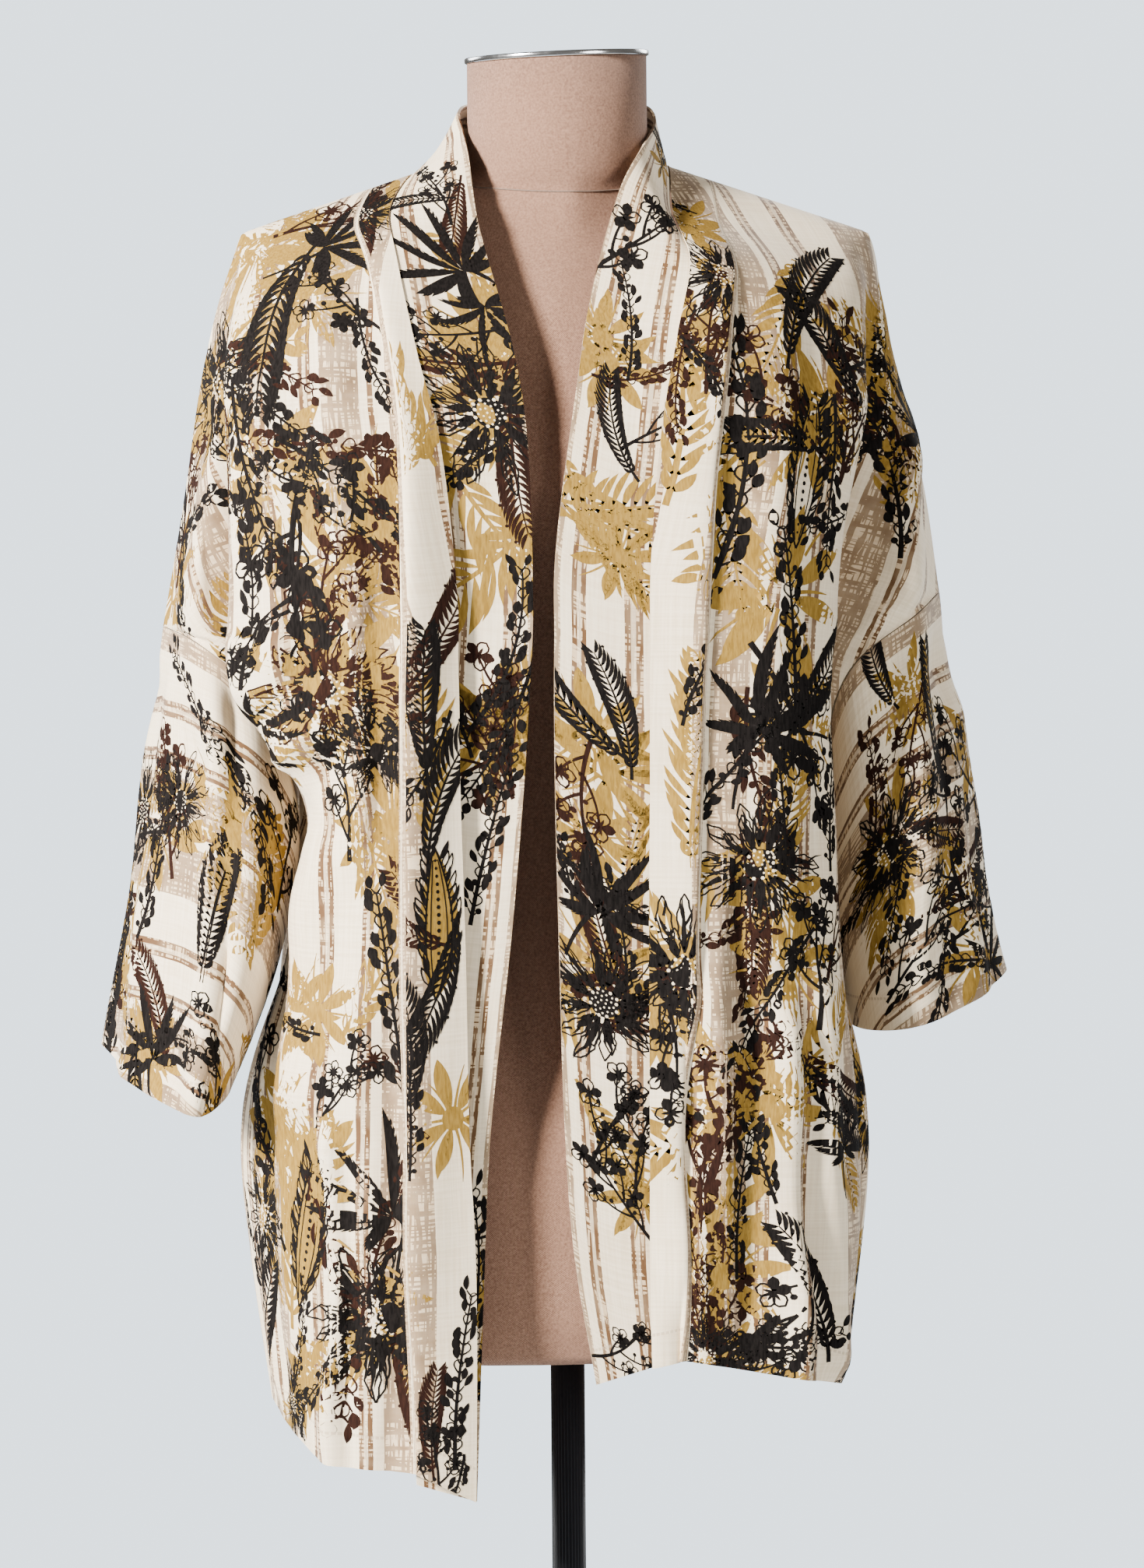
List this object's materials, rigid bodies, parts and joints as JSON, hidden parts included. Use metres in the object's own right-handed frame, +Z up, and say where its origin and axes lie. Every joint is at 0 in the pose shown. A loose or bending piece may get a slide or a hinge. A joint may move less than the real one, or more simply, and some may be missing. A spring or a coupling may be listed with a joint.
{
  "type": "kimono jacket on a dress form",
  "caption": "Open kimono jacket with dropped three-quarter sleeves, neckband and floral print, on a limbless dress form with a pole and round foot.",
  "frame": {"origin": "on the floor, in the centre of the foot, under the pole", "axes": "+Z up along the pole, the jacket's open front faces -Y, +X is the wearer's left"},
  "size_m": [0.5872, 0.34, 1.5301],
  "materials": {
    "printed_cloth": "soft slub weave with a faint sheen",
    "form_linen": "matt fine linen",
    "neck_plate": "polished",
    "stand_black": "satin"
  },
  "bodies": {
    "root": {"back": "printed_cloth", "left_front": "printed_cloth", "right_front": "printed_cloth", "left_sleeve": "printed_cloth", "right_sleeve": "printed_cloth", "left_neckband": "printed_cloth", "right_neckband": "printed_cloth", "dress_form": "form_linen", "neck_cap": "neck_plate", "pole": "stand_black", "foot": "stand_black"}
  },
  "joints": []
}
